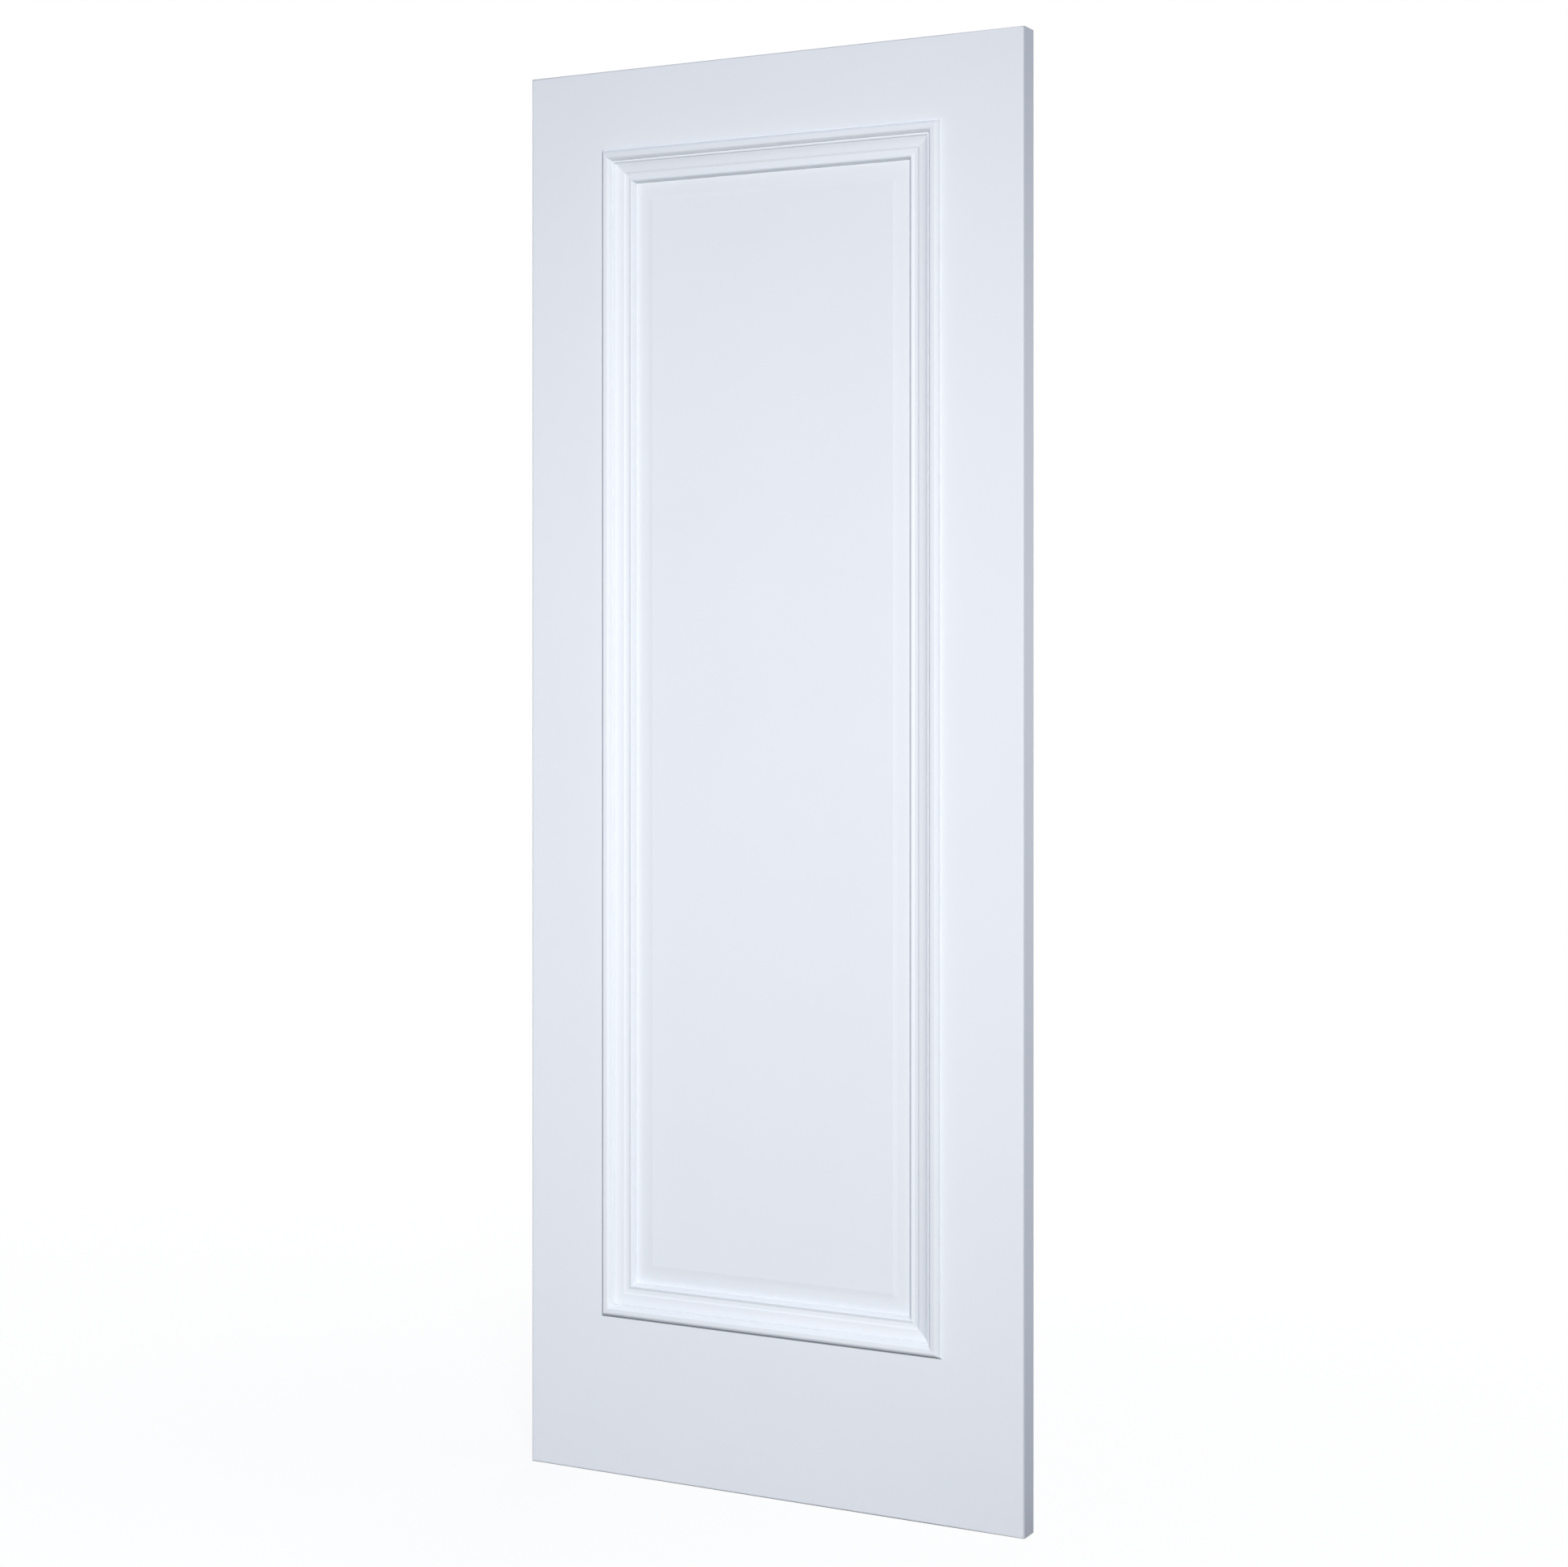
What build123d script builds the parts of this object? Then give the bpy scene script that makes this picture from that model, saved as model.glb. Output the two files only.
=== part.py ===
from build123d import *
import os

# Internal door leaf with one raised and fielded panel in a mitred bolection moulding.
# Millimetres. X runs from the hinge edge to the lock edge, Z from the bottom edge up,
# and the front face looks along -Y. The origin is at the foot of the hinge edge,
# at mid thickness.

# leaf
door_width = 762.0
door_height = 1981.0
door_thickness = 35.0

# frame of the leaf
stile_width = 133.5
top_rail_width = 126.4
bottom_rail_width = 237.3
facing_thickness = 4.0
lipping_width = 8.0
arris_radius = 1.8

# panel
field_thickness = 14.8
margin_thickness = 10.8
bevel_width = 26.6
panel_clearance = 2.0

# moulding section: widths of its members in order, from the outer foot inwards
moulding_lap = 16.0
foot_width = 0.4
ledge_width = 2.2
nose_width = 4.4
shoulder_width = 1.2
cap_width = 4.8
cap_round_width = 1.4
ovolo_width = 3.7
quirk_width = 0.6
bead_width = 2.2
bead_fall_width = 0.5
cove_width = 10.8
flat_width = 2.2
step_width = 2.6
sunk_quirk_width = 5.0
inner_rise_width = 3.2
inner_nose_width = 2.4
fall_width = 2.6

# moulding section: heights where its members end, above the face of the frame, negative where sunk below it
ledge_height = 0.4
nose_height = 8.2
shoulder_height = 8.55
cap_height = 8.8
cap_round_height = 8.15
quirk_height = 1.9
bead_height = 1.7
bead_fall_height = 0.2
cove_height = -2.7
flat_height = -2.75
sunk_quirk_height = -4.2
inner_rise_height = -2.5
inner_nose_height = -3.3

# moulding section: how far each curved member bulges from its chord
nose_bulge = 1.1
shoulder_bulge = 0.07
cap_round_bulge = 0.13
ovolo_bulge = 0.35
bead_bulge = 0.7
cove_bulge = 0.75
inner_nose_bulge = 0.3
fall_bulge = 0.3

# what follows from these
core_thickness = door_thickness - 2 * facing_thickness
front_y = -door_thickness / 2
opening_width = door_width - 2 * stile_width
opening_height = door_height - top_rail_width - bottom_rail_width
moulding_seat_height = -(door_thickness - margin_thickness) / 2

# each member of the moulding section: its width, the height where it ends and its bulge,
# which is negative where the member is hollow
moulding_members = (
    (foot_width, ledge_height, 0),
    (ledge_width, ledge_height, 0),
    (nose_width, nose_height, nose_bulge),
    (shoulder_width, shoulder_height, shoulder_bulge),
    (cap_width, cap_height, 0),
    (cap_round_width, cap_round_height, cap_round_bulge),
    (ovolo_width, quirk_height, ovolo_bulge),
    (quirk_width, quirk_height, 0),
    (bead_width, bead_height, bead_bulge),
    (bead_fall_width, bead_fall_height, 0),
    (cove_width, cove_height, -cove_bulge),
    (flat_width, flat_height, 0),
    (step_width, sunk_quirk_height, 0),
    (sunk_quirk_width, sunk_quirk_height, 0),
    (inner_rise_width, inner_rise_height, 0),
    (inner_nose_width, inner_nose_height, inner_nose_bulge),
    (fall_width, moulding_seat_height, fall_bulge),
)
moulding_width = sum(width for width, _, _ in moulding_members)

os.makedirs("parts", exist_ok=True)


def save(name, piece):
    export_step(piece, f"parts/{name}.step")


def on_back(piece):
    """The same piece on the back of the leaf."""
    return mirror(piece, about=Plane.XZ)


def block(x_range, y_range, z_range):
    low, high = zip(x_range, y_range, z_range)
    size = Vector(*high) - Vector(*low)
    return Pos(*low) * Box(size.X, size.Y, size.Z, align=(Align.MIN, Align.MIN, Align.MIN))


def core_block(x_range, z_range):
    return block(x_range, (-core_thickness / 2, core_thickness / 2), z_range)


def front_facing(x_range, z_range, outline_x=(), outline_z=()):
    """A facing sheet, with its arris eased where it lies on the outline of the leaf."""
    sheet = block(x_range, (front_y, front_y + facing_thickness), z_range)
    edges = sheet.faces().sort_by(Axis.Y)[0].edges()
    eased = [edge for edge in edges for x in outline_x if abs(edge.center().X - x) < 1e-6]
    eased += [edge for edge in edges for z in outline_z if abs(edge.center().Z - z) < 1e-6]
    return fillet(eased, arris_radius)


def make_stile(name, outer_x, inward):
    """A full-height stile: its core, the lipping on its outer edge and two facings."""

    def span(start, end):
        return sorted((outer_x + inward * start, outer_x + inward * end))

    height = (0, door_height)
    facing = front_facing(span(0, stile_width), height, (outer_x,), height)
    save(f"{name}_core", core_block(span(lipping_width, stile_width), height))
    save(f"{name}_lipping", core_block(span(0, lipping_width), height))
    save(f"{name}_front_facing", facing)
    save(f"{name}_back_facing", on_back(facing))


def make_rail(name, z_range, outer_z):
    """A rail between the stiles: its core and two facings."""
    width = (stile_width, door_width - stile_width)
    facing = front_facing(width, z_range, outline_z=(outer_z,))
    save(f"{name}_core", core_block(width, z_range))
    save(f"{name}_front_facing", facing)
    save(f"{name}_back_facing", on_back(facing))


def panel_section(size):
    """The panel cut across one way: local X along its face, local Y through its thickness."""
    end = size / 2 - panel_clearance
    foot = size / 2 - (moulding_width - moulding_lap)
    arris = foot - bevel_width
    margin = margin_thickness / 2
    field = field_thickness / 2
    edge = Line((end, 0), (end, margin))
    flat = Line((end, margin), (foot, margin))
    scoop = TangentArc((foot, margin), (arris, field), tangent=(-1, 0))
    face = Line((arris, field), (0, field))
    quarter = Curve() + [edge, flat, scoop, face]
    half = quarter + mirror(quarter, about=Plane.YZ)
    return make_face(half + mirror(half, about=Plane.XZ))


def make_panel():
    """A board held between the mouldings, with a scooped bevel up to a flat field on each face."""
    centre = Vector(door_width / 2, 0, bottom_rail_width + opening_height / 2)
    level = Plane(centre, x_dir=(1, 0, 0), z_dir=(0, 0, 1))
    upright = Plane(centre, x_dir=(0, 0, 1), z_dir=(1, 0, 0))
    across = extrude(level * panel_section(opening_width), opening_height / 2, both=True)
    along = extrude(upright * panel_section(opening_height), opening_width / 2, both=True)
    save("panel", across & along)


def moulding_section():
    """Local X runs inwards from the outer foot, local Y out from the face of the frame."""
    end = Vector(0, 0)
    outline = []
    for width, height, bulge in moulding_members:
        start = end
        end = Vector(start.X + width, height)
        outline.append(SagittaArc(start, end, bulge) if bulge else Line(start, end))
    outline.append(Polyline(end, (moulding_lap, end.Y), (moulding_lap, 0), (0, 0)))
    return make_face(outline)


def front_moulding(corner, along, inward, length):
    """One length on the front, from an outer corner, with both ends cut to the mitre."""
    start, along, inward = Vector(corner), Vector(along), Vector(inward)
    place = Plane(start, x_dir=inward, z_dir=along)
    bar = place * extrude(moulding_section(), length)
    for end, outwards in ((start, -along), (start + along * length, along)):
        mitre = Plane(end, z_dir=outwards + inward)
        bar = split(bar, bisect_by=mitre, keep=Keep.BOTTOM)
    return bar


def make_mouldings():
    left = stile_width - moulding_lap
    right = door_width - left
    low = bottom_rail_width - moulding_lap
    high = door_height - top_rail_width + moulding_lap
    lengths = {
        "hinge_side": ((left, front_y, high), (0, 0, -1), (1, 0, 0), high - low),
        "lock_side": ((right, front_y, low), (0, 0, 1), (-1, 0, 0), high - low),
        "bottom": ((left, front_y, low), (1, 0, 0), (0, 0, 1), right - left),
        "top": ((right, front_y, high), (-1, 0, 0), (0, 0, -1), right - left),
    }
    for name, place in lengths.items():
        piece = front_moulding(*place)
        save(f"front_moulding_{name}", piece)
        save(f"back_moulding_{name}", on_back(piece))


make_stile("hinge_stile", 0, 1)
make_stile("lock_stile", door_width, -1)
make_rail("top_rail", (door_height - top_rail_width, door_height), door_height)
make_rail("bottom_rail", (0, bottom_rail_width), 0)
make_panel()
make_mouldings()
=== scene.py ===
import math
import bmesh
import bpy
from mathutils import Matrix, Vector


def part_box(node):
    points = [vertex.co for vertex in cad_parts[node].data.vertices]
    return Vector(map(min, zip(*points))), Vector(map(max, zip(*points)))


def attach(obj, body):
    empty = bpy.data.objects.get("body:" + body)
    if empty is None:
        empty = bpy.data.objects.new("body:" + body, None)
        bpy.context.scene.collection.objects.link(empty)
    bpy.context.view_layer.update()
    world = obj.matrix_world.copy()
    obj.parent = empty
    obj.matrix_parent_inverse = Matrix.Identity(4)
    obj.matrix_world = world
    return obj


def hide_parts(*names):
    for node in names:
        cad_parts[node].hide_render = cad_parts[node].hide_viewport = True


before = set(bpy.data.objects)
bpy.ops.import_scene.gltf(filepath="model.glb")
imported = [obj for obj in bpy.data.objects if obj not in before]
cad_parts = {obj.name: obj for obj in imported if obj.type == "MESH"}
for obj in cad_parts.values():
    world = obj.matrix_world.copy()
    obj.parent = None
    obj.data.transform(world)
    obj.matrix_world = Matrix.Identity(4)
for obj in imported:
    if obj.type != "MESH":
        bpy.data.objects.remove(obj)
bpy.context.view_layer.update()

mm = 0.001  # settings in millimetres are turned into metres with this
touching = 0.001 * mm  # closer than this counts as the same place
print("frame loaded:", len(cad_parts), "nodes")

# the leaf's own measures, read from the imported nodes
stileLow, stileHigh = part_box("hinge_stile_front_facing")
lockLow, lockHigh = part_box("lock_stile_front_facing")
sideLow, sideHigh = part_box("front_moulding_hinge_side")
topLow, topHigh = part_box("front_moulding_top")
panelLow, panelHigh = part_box("panel")
leafWidth = lockHigh.x
leafHeight = stileHigh.z
frontY = stileLow.y
panelSeatY = sideHigh.y


# small helpers for working on one piece at a time

def startPiece(name, addPrimitive, **size):
    bpy.ops.object.select_all(action="DESELECT")
    addPrimitive(**size)
    piece = bpy.context.object
    piece.name = name
    piece.data.name = name
    return piece


def editOnly(piece, mode):
    bpy.ops.object.select_all(action="DESELECT")
    bpy.context.view_layer.objects.active = piece
    piece.select_set(True)
    bpy.ops.object.mode_set(mode="EDIT")
    bpy.ops.mesh.select_mode(type=mode)
    bpy.ops.mesh.select_all(action="DESELECT")
    return bmesh.from_edit_mesh(piece.data)


def leaveEdit():
    bpy.ops.object.mode_set(mode="OBJECT")


def selectBy(piece, parts, test):
    for part in parts:
        part.select_set(test(part))
    bmesh.update_edit_mesh(piece.data)


def applyPlace(piece):
    bpy.ops.object.select_all(action="DESELECT")
    bpy.context.view_layer.objects.active = piece
    piece.select_set(True)
    bpy.ops.object.transform_apply(location=True, rotation=True, scale=True)


def copyOf(piece, name):
    bpy.ops.object.select_all(action="DESELECT")
    bpy.context.view_layer.objects.active = piece
    piece.select_set(True)
    bpy.ops.object.duplicate(linked=False)
    twin = bpy.context.object
    twin.name = name
    twin.data.name = name
    return twin


def easeArrises(piece, width, segments, angle):
    bpy.context.view_layer.objects.active = piece
    ease = piece.modifiers.new("easedArris", "BEVEL")
    ease.width = width
    ease.segments = segments
    ease.limit_method = "ANGLE"
    ease.angle_limit = math.radians(angle)
    ease.use_clamp_overlap = True
    bpy.ops.object.modifier_apply(modifier=ease.name)


def smoothPiece(piece, angle):
    bpy.ops.object.select_all(action="DESELECT")
    bpy.context.view_layer.objects.active = piece
    piece.select_set(True)
    bpy.ops.object.shade_smooth_by_angle(angle=math.radians(angle))


def keepFlats(piece):
    bpy.context.view_layer.objects.active = piece
    flats = piece.modifiers.new("flatFaces", "WEIGHTED_NORMAL")
    flats.mode = "FACE_AREA"
    flats.weight = 100
    flats.keep_sharp = True
    bpy.ops.object.modifier_apply(modifier=flats.name)


# primer coat: shader groups shared by every painted piece

def startGroup(name, inputs, outputs):
    group = bpy.data.node_groups.new(name, "ShaderNodeTree")
    for label, kind, value in inputs:
        socket = group.interface.new_socket(name=label, in_out="INPUT", socket_type=kind)
        if value is not None:
            socket.default_value = value
    for label, kind in outputs:
        group.interface.new_socket(name=label, in_out="OUTPUT", socket_type=kind)
    return group, group.nodes.new("NodeGroupInput"), group.nodes.new("NodeGroupOutput")


def addMath(tree, operation, first, second=None, clamp=False):
    node = tree.nodes.new("ShaderNodeMath")
    node.operation = operation
    node.use_clamp = clamp
    for socket, value in zip(node.inputs, (first, second)):
        if value is None:
            continue
        if isinstance(value, (int, float)):
            socket.default_value = value
        else:
            tree.links.new(value, socket)
    return node.outputs[0]


def addNoise(tree, vector, scale, detail, roughness=0.5):
    node = tree.nodes.new("ShaderNodeTexNoise")
    node.inputs["Scale"].default_value = scale
    node.inputs["Detail"].default_value = detail
    node.inputs["Roughness"].default_value = roughness
    tree.links.new(vector, node.inputs["Vector"])
    return node.outputs["Fac"]


primerCoat = {
    "mottleScale": 7.0,  # soft clouds of tone, per metre
    "rollerScale": 55.0,  # long low waves left by the coating roller
    "peelScale": 520.0,  # fine orange peel, about 2 mm
    "nibScale": 1900.0,  # fine sanding tooth
    "rollerShare": 0.6,
    "peelShare": 0.3,
    "nibShare": 0.1,
}


def makePrimerCoat():
    group, given, result = startGroup(
        "primerCoat",
        [
            ("Vector", "NodeSocketVector", None),
            ("Tone", "NodeSocketColor", (0.8, 0.8, 0.8, 1)),
            ("Mottle", "NodeSocketFloat", 0.02),
            ("Sheen", "NodeSocketFloat", 0.45),
            ("Sheen spread", "NodeSocketFloat", 0.08),
        ],
        [("Color", "NodeSocketColor"), ("Roughness", "NodeSocketFloat"), ("Height", "NodeSocketFloat")],
    )
    place = given.outputs["Vector"]
    clouds = addNoise(group, place, primerCoat["mottleScale"], 3)
    roller = addNoise(group, place, primerCoat["rollerScale"], 2)
    peel = addNoise(group, place, primerCoat["peelScale"], 2)
    nibs = addNoise(group, place, primerCoat["nibScale"], 1)
    swing = addMath(group, "MULTIPLY", addMath(group, "SUBTRACT", clouds, 0.5), given.outputs["Mottle"])
    level = addMath(group, "ADD", swing, 1.0)
    tint = group.nodes.new("ShaderNodeVectorMath")
    tint.operation = "SCALE"
    group.links.new(given.outputs["Tone"], tint.inputs[0])
    group.links.new(level, tint.inputs["Scale"])
    group.links.new(tint.outputs[0], result.inputs["Color"])
    patch = addMath(group, "MULTIPLY", addMath(group, "SUBTRACT", roller, 0.5), given.outputs["Sheen spread"])
    rough = addMath(group, "ADD", patch, given.outputs["Sheen"], clamp=True)
    group.links.new(rough, result.inputs["Roughness"])
    relief = addMath(group, "MULTIPLY", roller, primerCoat["rollerShare"])
    relief = addMath(group, "ADD", relief, addMath(group, "MULTIPLY", peel, primerCoat["peelShare"]))
    relief = addMath(group, "ADD", relief, addMath(group, "MULTIPLY", nibs, primerCoat["nibShare"]))
    group.links.new(relief, result.inputs["Height"])
    return group


grainDepth = 10  # height of the grain for its share of the tone


def makeGrainLines():
    group, given, result = startGroup(
        "grainLines",
        [
            ("Vector", "NodeSocketVector", None),
            ("Stretch", "NodeSocketVector", (1, 1, 1)),
            ("Share", "NodeSocketFloat", 0.02),
        ],
        [("Level", "NodeSocketFloat"), ("Height", "NodeSocketFloat")],
    )
    drawn = group.nodes.new("ShaderNodeVectorMath")
    drawn.operation = "MULTIPLY"
    group.links.new(given.outputs["Vector"], drawn.inputs[0])
    group.links.new(given.outputs["Stretch"], drawn.inputs[1])
    lines = addNoise(group, drawn.outputs[0], 1.0, 4, 0.6)
    swing = addMath(group, "MULTIPLY", addMath(group, "SUBTRACT", lines, 0.5), given.outputs["Share"])
    group.links.new(addMath(group, "ADD", swing, 1.0), result.inputs["Level"])
    depth = addMath(group, "MULTIPLY", given.outputs["Share"], grainDepth)
    group.links.new(addMath(group, "MULTIPLY", lines, depth), result.inputs["Height"])
    return group


# painted shade: darker where an arris has turned away from the face, most at 60 degrees, and darker on
# surfaces turned downwards, more so towards the lock edge
def makeArrisShade():
    group, given, result = startGroup(
        "arrisShade",
        [
            ("Vector", "NodeSocketVector", None),
            ("Normal", "NodeSocketVector", None),
            ("TurnShade", "NodeSocketFloat", 0.2),
            ("UnderShade", "NodeSocketFloat", 0.3),
        ],
        [("Level", "NodeSocketFloat")],
    )
    parts = group.nodes.new("ShaderNodeSeparateXYZ")
    group.links.new(given.outputs["Normal"], parts.inputs[0])
    facing = addMath(group, "ABSOLUTE", parts.outputs["Y"])
    turned = addMath(group, "MULTIPLY", facing, addMath(group, "SUBTRACT", 1.0, facing))
    peaked = addMath(group, "MULTIPLY", turned, 4.0)  # 1 where the arris has turned by 60 degrees
    turnedShade = addMath(group, "MULTIPLY", peaked, given.outputs["TurnShade"])
    place = group.nodes.new("ShaderNodeSeparateXYZ")
    group.links.new(given.outputs["Vector"], place.inputs[0])
    toLock = addMath(group, "DIVIDE", place.outputs["X"], leafWidth)
    under = addMath(group, "MULTIPLY", parts.outputs["Z"], -1.0, clamp=True)
    underSideShade = addMath(group, "MULTIPLY", addMath(group, "MULTIPLY", under, toLock), given.outputs["UnderShade"])
    marked = addMath(group, "ADD", turnedShade, underSideShade)
    group.links.new(addMath(group, "SUBTRACT", 1.0, marked, clamp=True), result.inputs["Level"])
    return group


lowShadeAndStreaks = {
    "reach": 0.3,  # metres up to where the painted shade ends
    "streakReach": 0.06,
    "streaks": (420, 420, 9),  # how the streaks are drawn out, per metre
    "streakStart": 0.45,
    "streakDepth": 10.0,
}


# painted shade: the lippings darken towards the bottom up to the reach; the streaks in the lowest few
# centimetres are real marks on the edge
def makeLowShadeAndStreaks():
    group, given, result = startGroup(
        "lowShadeAndStreaks",
        [("Vector", "NodeSocketVector", None), ("ShadeAndStreaks", "NodeSocketFloat", 0.1)],
        [("Level", "NodeSocketFloat")],
    )
    place = group.nodes.new("ShaderNodeSeparateXYZ")
    group.links.new(given.outputs["Vector"], place.inputs[0])
    height = place.outputs["Z"]
    lowShade = addMath(group, "SUBTRACT", 1.0, addMath(group, "DIVIDE", height, lowShadeAndStreaks["reach"]), clamp=True)
    climb = addMath(group, "DIVIDE", height, lowShadeAndStreaks["streakReach"])
    low = addMath(group, "SUBTRACT", 1.0, climb, clamp=True)
    drawn = group.nodes.new("ShaderNodeVectorMath")
    drawn.operation = "MULTIPLY"
    drawn.inputs[1].default_value = lowShadeAndStreaks["streaks"]
    group.links.new(given.outputs["Vector"], drawn.inputs[0])
    noise = addNoise(group, drawn.outputs[0], 1.0, 3)
    lines = addMath(group, "SUBTRACT", noise, lowShadeAndStreaks["streakStart"], clamp=True)
    streaks = addMath(group, "MULTIPLY", addMath(group, "MULTIPLY", lines, lowShadeAndStreaks["streakDepth"]), low)
    shadedAndStreaked = addMath(group, "MULTIPLY", addMath(group, "ADD", lowShade, streaks), given.outputs["ShadeAndStreaks"])
    group.links.new(addMath(group, "SUBTRACT", 1.0, shadedAndStreaked), result.inputs["Level"])
    return group


footShadeSoftness = 0.4 * mm


# painted shade: darkens a surface short of an edge taken along one direction, standing in for the shadow at a
# moulding's outer foot
def makeMouldingFootShade():
    group, given, result = startGroup(
        "mouldingFootShade",
        [
            ("Vector", "NodeSocketVector", None),
            ("Across", "NodeSocketVector", (1, 0, 0)),
            ("Edge", "NodeSocketFloat", 0.1),
            ("Dark", "NodeSocketFloat", 0.2),
        ],
        [("Level", "NodeSocketFloat")],
    )
    along = group.nodes.new("ShaderNodeVectorMath")
    along.operation = "DOT_PRODUCT"
    group.links.new(given.outputs["Vector"], along.inputs[0])
    group.links.new(given.outputs["Across"], along.inputs[1])
    past = addMath(group, "SUBTRACT", given.outputs["Edge"], along.outputs["Value"])
    inside = addMath(group, "DIVIDE", past, footShadeSoftness, clamp=True)
    dark = addMath(group, "MULTIPLY", inside, given.outputs["Dark"])
    group.links.new(addMath(group, "SUBTRACT", 1.0, dark), result.inputs["Level"])
    return group


paintTone = (0.80, 0.825, 0.863, 1)
paintGloss = 0.3
upright, level, endOn = (260, 260, 3), (3, 260, 260), (240, 240, 40)  # how the grain is drawn out, per metre
footShadeReach = 2.8 * mm  # the painted shade at the moulding's outer foot reaches over its foot and ledge
primer = {"mottle": 0.025, "sheen": 0.62, "spread": 0.10, "relief": 0.02}
mouldingPrimer = {"mottle": 0.02, "sheen": 0.6, "spread": 0.08, "relief": 0.006}
edgePrimer = {"mottle": 0.03, "sheen": 0.66, "spread": 0.10, "relief": 0.03}
# painted shade along the outer foot of the hinge-side and bottom mouldings, front and back; the top and
# lock-side mouldings get none
hingeSideFootShade = {"mouldingFootShade": {"Across": (1, 0, 0), "Edge": sideLow.x + footShadeReach, "Dark": 0.32}}
bottomFootShade = {"mouldingFootShade": {"Across": (0, 0, 1), "Edge": sideLow.z + footShadeReach, "Dark": 0.5}}
# painted shade on the facings' rounded arrises and on their down-facing surfaces
arrisShadeMarks = {"arrisShade": {"TurnShade": 0.22, "UnderShade": 0.75}}
# painted shade low on the lippings, with real streaks at their foot
lippingMarks = {"lowShadeAndStreaks": {"ShadeAndStreaks": 0.14}}
paints = {
    "primedFacing": {**primer, "grain": upright, "share": 0.004, "marks": arrisShadeMarks},
    "primedPanel": {**primer, "grain": upright, "share": 0.004, "marks": {}},
    "primedUprightMoulding": {**mouldingPrimer, "grain": upright, "share": 0.012, "marks": hingeSideFootShade},
    "primedLevelMoulding": {**mouldingPrimer, "grain": level, "share": 0.012, "marks": bottomFootShade},
    "primedLipping": {**edgePrimer, "grain": upright, "share": 0.05, "marks": lippingMarks},
    "primedCore": {**edgePrimer, "grain": endOn, "share": 0.06, "marks": {}},
}
primerGroup = makePrimerCoat()
grainGroup = makeGrainLines()
markGroups = {"arrisShade": makeArrisShade(), "lowShadeAndStreaks": makeLowShadeAndStreaks(), "mouldingFootShade": makeMouldingFootShade()}


def addGroup(tree, group, **values):
    node = tree.nodes.new("ShaderNodeGroup")
    node.node_tree = group
    for label, value in values.items():
        node.inputs[label].default_value = value
    return node


def makePaint(name):
    look = paints[name]
    paint = bpy.data.materials.new(name)
    paint.use_nodes = True
    tree = paint.node_tree
    shader = tree.nodes["Principled BSDF"]
    shader.inputs["Specular IOR Level"].default_value = paintGloss
    sources = {
        "Vector": tree.nodes.new("ShaderNodeTexCoord").outputs["Object"],
        "Normal": tree.nodes.new("ShaderNodeNewGeometry").outputs["Normal"],
    }
    coat = addGroup(tree, primerGroup, Tone=paintTone, Mottle=look["mottle"])
    coat.inputs["Sheen"].default_value = look["sheen"]
    coat.inputs["Sheen spread"].default_value = look["spread"]
    grain = addGroup(tree, grainGroup, Stretch=look["grain"], Share=look["share"])
    marks = [addGroup(tree, markGroups[mark], **values) for mark, values in look["marks"].items()]
    share = grain.outputs["Level"]
    for mark in marks:
        share = addMath(tree, "MULTIPLY", share, mark.outputs["Level"])
    for node in (coat, grain, *marks):
        for label, source in sources.items():
            if label in node.inputs:
                tree.links.new(source, node.inputs[label])
    tone = tree.nodes.new("ShaderNodeVectorMath")
    tone.operation = "SCALE"
    tree.links.new(coat.outputs["Color"], tone.inputs[0])
    tree.links.new(share, tone.inputs["Scale"])
    tree.links.new(tone.outputs[0], shader.inputs["Base Color"])
    tree.links.new(coat.outputs["Roughness"], shader.inputs["Roughness"])
    bump = tree.nodes.new("ShaderNodeBump")
    bump.inputs["Distance"].default_value = look["relief"] * mm
    height = addMath(tree, "ADD", coat.outputs["Height"], grain.outputs["Height"])
    tree.links.new(height, bump.inputs["Height"])
    tree.links.new(bump.outputs["Normal"], shader.inputs["Normal"])
    return paint


paintOf = {name: makePaint(name) for name in paints}
print("paints made:", ", ".join(paintOf))


def finishPiece(piece, node, paint):
    piece.data.materials.clear()
    piece.data.materials.append(paintOf[paint])
    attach(piece, "root")
    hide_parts(node)


# facings: the sheets on the faces of the stiles and rails

facing = {"arris": 2.8 * mm, "segments": 8, "smooth": 40}


def makeFacing(node):
    low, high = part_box(node)
    middle = (low + high) / 2
    sheet = startPiece(node + "_sheet", bpy.ops.mesh.primitive_cube_add, size=1, location=middle)
    sheet.scale = high - low
    applyPlace(sheet)
    faceY = low.y if middle.y < 0 else high.y
    shape = editOnly(sheet, "EDGE")

    def onOutline(edge):
        centre = (edge.verts[0].co + edge.verts[1].co) / 2
        onFace = all(abs(v.co.y - faceY) < touching for v in edge.verts)
        atSide = min(abs(centre.x), abs(centre.x - leafWidth)) < touching
        atEnd = min(abs(centre.z), abs(centre.z - leafHeight)) < touching
        return onFace and (atSide or atEnd)

    selectBy(sheet, shape.edges, onOutline)
    bpy.ops.mesh.bevel(offset=facing["arris"], segments=facing["segments"], affect="EDGES")
    leaveEdit()
    smoothPiece(sheet, facing["smooth"])
    keepFlats(sheet)
    finishPiece(sheet, node, "primedFacing")


for member in ("hinge_stile", "lock_stile", "top_rail", "bottom_rail"):
    for side in ("front", "back"):
        makeFacing(f"{member}_{side}_facing")
print("facings made")


# moulding: the section is drawn once for each length, member by member from the outer foot inwards

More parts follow.
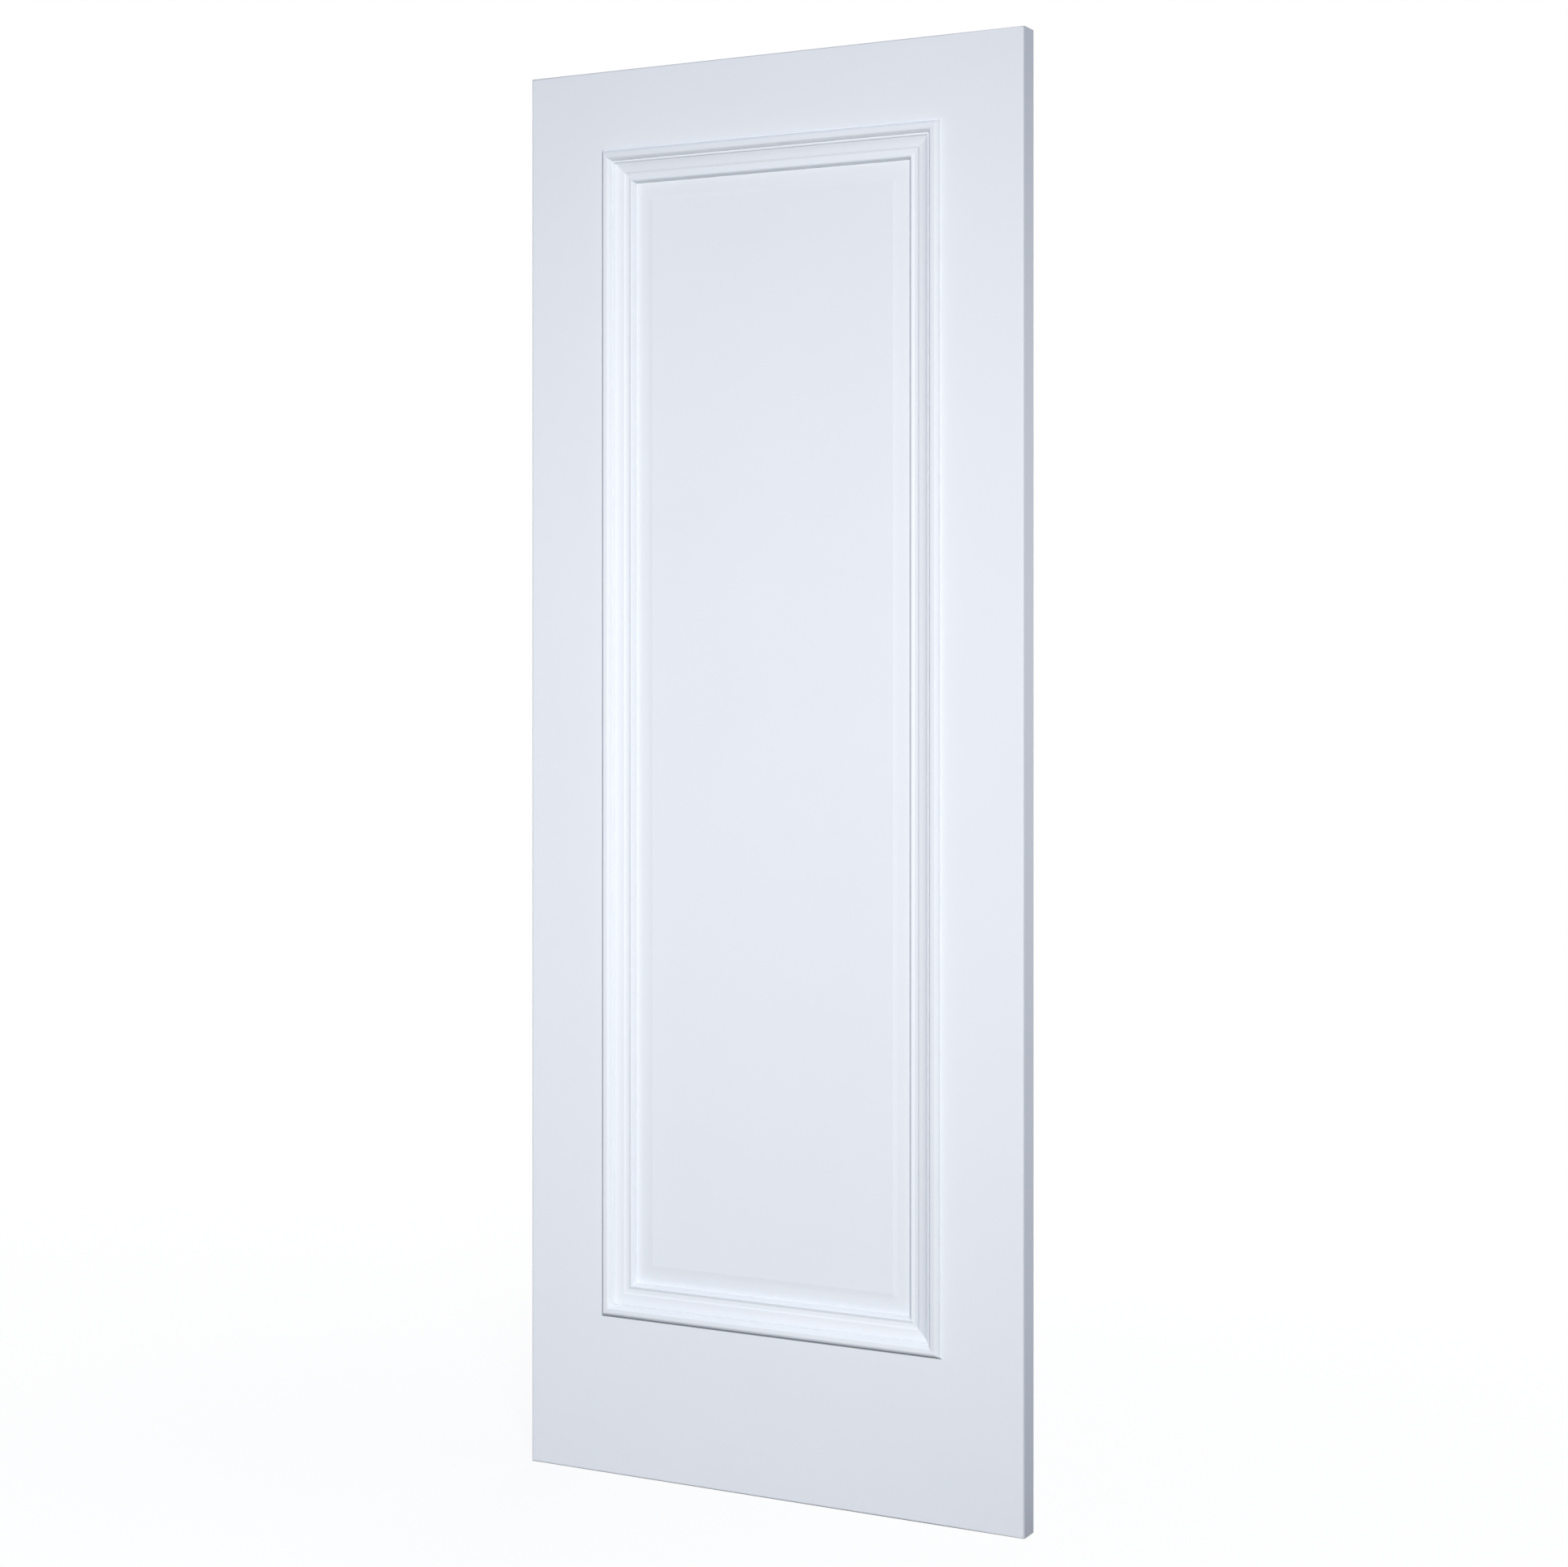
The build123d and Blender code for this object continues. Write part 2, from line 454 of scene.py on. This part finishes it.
moulding = {
    "lap": 16.0,  # how far it laps the frame, in mm as are all the members
    "members": [  # width, height above the frame's face where the member ends, bulge from its chord
        ("foot", 0.4, 0.4, 0),
        ("ledge", 2.2, 0.4, 0),
        ("nose", 4.4, 8.2, 1.1),
        ("shoulder", 1.2, 8.55, 0.07),
        ("cap", 4.8, 8.8, 0),
        ("capRound", 1.4, 8.15, 0.13),
        ("ovolo", 3.7, 1.9, 0.35),
        ("quirk", 0.6, 1.9, 0),
        ("bead", 2.2, 1.7, 0.7),
        ("beadFall", 0.5, 0.2, 0),
        ("cove", 10.8, -2.7, -0.75),
        ("flat", 2.2, -2.75, 0),
        ("step", 2.6, -4.2, 0),
        ("sunkQuirk", 5.0, -4.2, 0),
        ("innerRise", 3.2, -2.5, 0),
        ("innerNose", 2.4, -3.3, 0.3),
        ("fall", 2.6, (frontY - panelSeatY) / mm, 0.3),
    ],
    "arcStep": 9,  # degrees of arc for each facet
    "arris": 0.2 * mm,
    "arrisSegments": 4,
    "arrisAngle": 25,
    "smooth": 14,
}


def sectionPoint(width, height):
    return Vector((width * mm, -height * mm, 0))


def drawTo(start, end):
    bpy.ops.mesh.extrude_region_move(TRANSFORM_OT_translate={"value": end - start})


def drawArc(start, end, bulge):
    chord = end - start
    rise = abs(bulge) * mm
    radius = (chord.length ** 2 / 4 + rise ** 2) / (2 * rise)
    turn = 2 * math.asin(chord.length / (2 * radius))
    side = 1 if bulge > 0 else -1
    outward = Vector((chord.y, -chord.x, 0)).normalized() * side
    centre = (start + end) / 2 - outward * (radius - rise)
    steps = max(3, round(math.degrees(turn) / moulding["arcStep"]))
    bpy.ops.mesh.spin(steps=steps, angle=-turn * side, center=centre, axis=(0, 0, 1))


def makeMouldingLength(name, length):
    bar = startPiece(name, bpy.ops.mesh.primitive_plane_add, size=mm, location=(0, 0, 0))
    editOnly(bar, "VERT")
    bpy.ops.mesh.select_all(action="SELECT")
    bpy.ops.mesh.merge(type="CENTER")
    width = 0
    here = sectionPoint(0, 0)
    for _, memberWidth, height, bulge in moulding["members"]:
        width += memberWidth
        there = sectionPoint(width, height)
        if bulge:
            drawArc(here, there, bulge)
        else:
            drawTo(here, there)
        here = there
    for backWidth, backHeight in ((moulding["lap"], height), (moulding["lap"], 0), (0, 0)):
        corner = sectionPoint(backWidth, backHeight)
        drawTo(here, corner)
        here = corner
    bpy.ops.mesh.select_all(action="SELECT")
    bpy.ops.mesh.remove_doubles(threshold=0.01 * mm)
    bpy.ops.mesh.edge_face_add()
    bpy.ops.mesh.extrude_region_move(TRANSFORM_OT_translate={"value": (0, 0, length)})
    for end, away in ((0, -1), (length, 1)):  # both ends are cut to the mitre
        bpy.ops.mesh.select_all(action="SELECT")
        bpy.ops.mesh.bisect(plane_co=(0, 0, end), plane_no=(1, 0, away), use_fill=True, clear_outer=True)
    bpy.ops.mesh.select_all(action="SELECT")
    bpy.ops.transform.translate(value=(0, 0, -length / 2))
    bpy.ops.mesh.normals_make_consistent(inside=False)
    leaveEdit()
    easeArrises(bar, moulding["arris"], moulding["arrisSegments"], moulding["arrisAngle"])
    smoothPiece(bar, moulding["smooth"])
    return bar


tallBar = makeMouldingLength("tallBar", sideHigh.z - sideLow.z)
wideBar = makeMouldingLength("wideBar", topHigh.x - topLow.x)
across, up = Vector((1, 0, 0)), Vector((0, 0, 1))
midX, midZ = leafWidth / 2, (sideLow.z + sideHigh.z) / 2
mouldingPlaces = {  # the bar, the middle of its outer foot, and the way into the panel
    "hinge_side": (tallBar, Vector((sideLow.x, frontY, midZ)), across),
    "lock_side": (tallBar, Vector((leafWidth - sideLow.x, frontY, midZ)), -across),
    "bottom": (wideBar, Vector((midX, frontY, sideLow.z)), up),
    "top": (wideBar, Vector((midX, frontY, sideHigh.z)), -up),
}
for face, outward in (("front", Vector((0, -1, 0))), ("back", Vector((0, 1, 0)))):
    for place, (bar, foot, inward) in mouldingPlaces.items():
        node = f"{face}_moulding_{place}"
        length = copyOf(bar, node + "_length")
        turn = Matrix((inward, -outward, inward.cross(-outward))).transposed()
        length.rotation_euler = turn.to_euler()
        length.location = Vector((foot.x, -foot.y * outward.y, foot.z))
        applyPlace(length)
        way = "Upright" if place.endswith("side") else "Level"
        finishPiece(length, node, f"primed{way}Moulding")
for bar in (tallBar, wideBar):
    bpy.data.objects.remove(bar)
print("mouldings made")


# panel: a board with a scooped bevel up to a flat field on each face

panel = {"bevelWidth": 26.6 * mm, "steps": 10, "smooth": 8}


def makePanel():
    size = panelHigh - panelLow
    middle = (panelLow + panelHigh) / 2
    board = startPiece("panel_board", bpy.ops.mesh.primitive_cube_add, size=1, location=middle)
    board.scale = (size.x, -2 * panelSeatY, size.z)
    applyPlace(board)
    rise = panelHigh.y + panelSeatY
    reach = panel["bevelWidth"]
    radius = (reach ** 2 + rise ** 2) / (2 * rise)
    sightInset = sideHigh.x - panelLow.x
    for outward in (-1, 1):
        shape = editOnly(board, "FACE")
        selectBy(board, shape.faces, lambda face: face.normal.y * outward > 0.9)
        bpy.ops.mesh.inset(thickness=sightInset, depth=0)
        before = 0
        for step in range(1, panel["steps"] + 1):
            run = reach * step / panel["steps"]
            now = radius - math.sqrt(radius ** 2 - run ** 2)
            bpy.ops.mesh.inset(thickness=reach / panel["steps"], depth=now - before)
            before = now
        leaveEdit()
    smoothPiece(board, panel["smooth"])
    finishPiece(board, "panel", "primedPanel")


makePanel()
print("panel made")


# cores and lippings keep their solids and get their own paints

for name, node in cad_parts.items():
    for kind, paint in (("_core", "primedCore"), ("_lipping", "primedLipping")):
        if name.endswith(kind):
            node.data.materials.clear()
            node.data.materials.append(paintOf[paint])


# studio: floor, backdrop, lights and camera

studio = {
    "floorSize": 40.0,
    "floorTone": (0.25, 0.265, 0.29, 1),
    "whiteNear": 0.72,  # how far the camera sees the floor as plain white, at the leaf
    "whiteLevel": 1.25,  # and how strong that white is there
    "fadeReach": 3.0,  # metres out to where the floor is all white
    "ambient": (0.54, 0.66, 1.0, 1),
    "ambientStrength": 0.317,
}


def seenByEye(tree):
    rays = tree.nodes.new("ShaderNodeLightPath")
    seen = addMath(tree, "MAXIMUM", rays.outputs["Is Camera Ray"], rays.outputs["Is Glossy Ray"])
    return addMath(tree, "MAXIMUM", seen, rays.outputs["Is Transmission Ray"])


def blendShaders(tree, share, first, second):
    blend = tree.nodes.new("ShaderNodeMixShader")
    tree.links.new(share, blend.inputs[0])
    tree.links.new(first.outputs[0], blend.inputs[1])
    tree.links.new(second.outputs[0], blend.inputs[2])
    return blend.outputs[0]


def addFade(tree, value, start, end):
    fade = tree.nodes.new("ShaderNodeMapRange")
    fade.inputs["To Min"].default_value = start
    fade.inputs["To Max"].default_value = end
    tree.links.new(value, fade.inputs["Value"])
    return fade.outputs[0]


def makeFloor():
    floor = startPiece("floor", bpy.ops.mesh.primitive_plane_add, size=studio["floorSize"])
    finish = bpy.data.materials.new("studioFloor")
    finish.use_nodes = True
    tree = finish.node_tree
    tree.nodes.remove(tree.nodes["Principled BSDF"])
    matte = tree.nodes.new("ShaderNodeBsdfDiffuse")
    matte.inputs["Color"].default_value = studio["floorTone"]
    white = tree.nodes.new("ShaderNodeEmission")
    coords = tree.nodes.new("ShaderNodeTexCoord")
    reach = tree.nodes.new("ShaderNodeVectorMath")
    reach.operation = "LENGTH"
    tree.links.new(coords.outputs["Object"], reach.inputs[0])
    out = addMath(tree, "DIVIDE", reach.outputs["Value"], studio["fadeReach"])
    tree.links.new(addFade(tree, out, studio["whiteLevel"], 1), white.inputs["Strength"])
    share = addMath(tree, "MULTIPLY", seenByEye(tree), addFade(tree, out, studio["whiteNear"], 1))
    surface = blendShaders(tree, share, matte, white)
    tree.links.new(surface, tree.nodes["Material Output"].inputs["Surface"])
    floor.data.materials.append(finish)


def makeWorld():
    world = bpy.data.worlds.new("studioWorld")
    bpy.context.scene.world = world
    world.use_nodes = True
    tree = world.node_tree
    ambient = tree.nodes["Background"]
    ambient.inputs["Color"].default_value = studio["ambient"]
    ambient.inputs["Strength"].default_value = studio["ambientStrength"]
    white = tree.nodes.new("ShaderNodeBackground")
    white.inputs["Color"].default_value = (1, 1, 1, 1)
    surface = blendShaders(tree, seenByEye(tree), ambient, white)
    tree.links.new(surface, tree.nodes["World Output"].inputs["Surface"])


lampColour = (1.0, 0.985, 0.935)
lamps = {  # place, what it points at, width, degrees of spread and power in watts
    "keySoftbox": ((2.4, -3.1, 2.2), (-1.5, 0, -0.3), 0.6, 104.4, 51.5),
    "frontFill": ((-0.3, -3.2, 1.4), (0.381, 0, 1.0), 1.2, 180, 19.4),
    "lockSideFill": ((2.4, 0.35, 1.35), (0.762, 0, 1.25), 0.6, 70, 0.6),
    "backSoftbox": ((-0.13, 2.9, 1.6), (0.381, 0, 1.0), 2.0, 180, 65),
}


def makeLamp(name, place, aim, width, spread, power):
    bpy.ops.object.select_all(action="DESELECT")
    bpy.ops.object.light_add(type="AREA", location=place)
    lamp = bpy.context.object
    lamp.name = name
    lamp.data.shape = "SQUARE"
    lamp.data.size = width
    lamp.data.spread = math.radians(spread)
    lamp.data.energy = power
    lamp.data.color = lampColour
    lamp.rotation_euler = (Vector(aim) - Vector(place)).to_track_quat("-Z", "Y").to_euler()


camera = {
    "place": (2.187, -3.4225, 1.1725),
    "turn": 27.587,  # degrees to the left of square on
    "lens": 64.55,
    "shiftUp": -0.0894,
}


def makeCamera():
    bpy.ops.object.select_all(action="DESELECT")
    level = math.radians(90)
    bpy.ops.object.camera_add(location=camera["place"], rotation=(level, 0, math.radians(camera["turn"])))
    eye = bpy.context.object
    eye.name = "photoCamera"
    eye.data.sensor_width = 36
    eye.data.lens = camera["lens"]
    eye.data.shift_y = camera["shiftUp"]
    eye.data.dof.use_dof = False
    bpy.context.scene.camera = eye


makeFloor()
makeWorld()
for lampName, lampSettings in lamps.items():
    makeLamp(lampName, *lampSettings)
makeCamera()
bpy.context.scene.view_settings.view_transform = "Standard"
print("studio made")
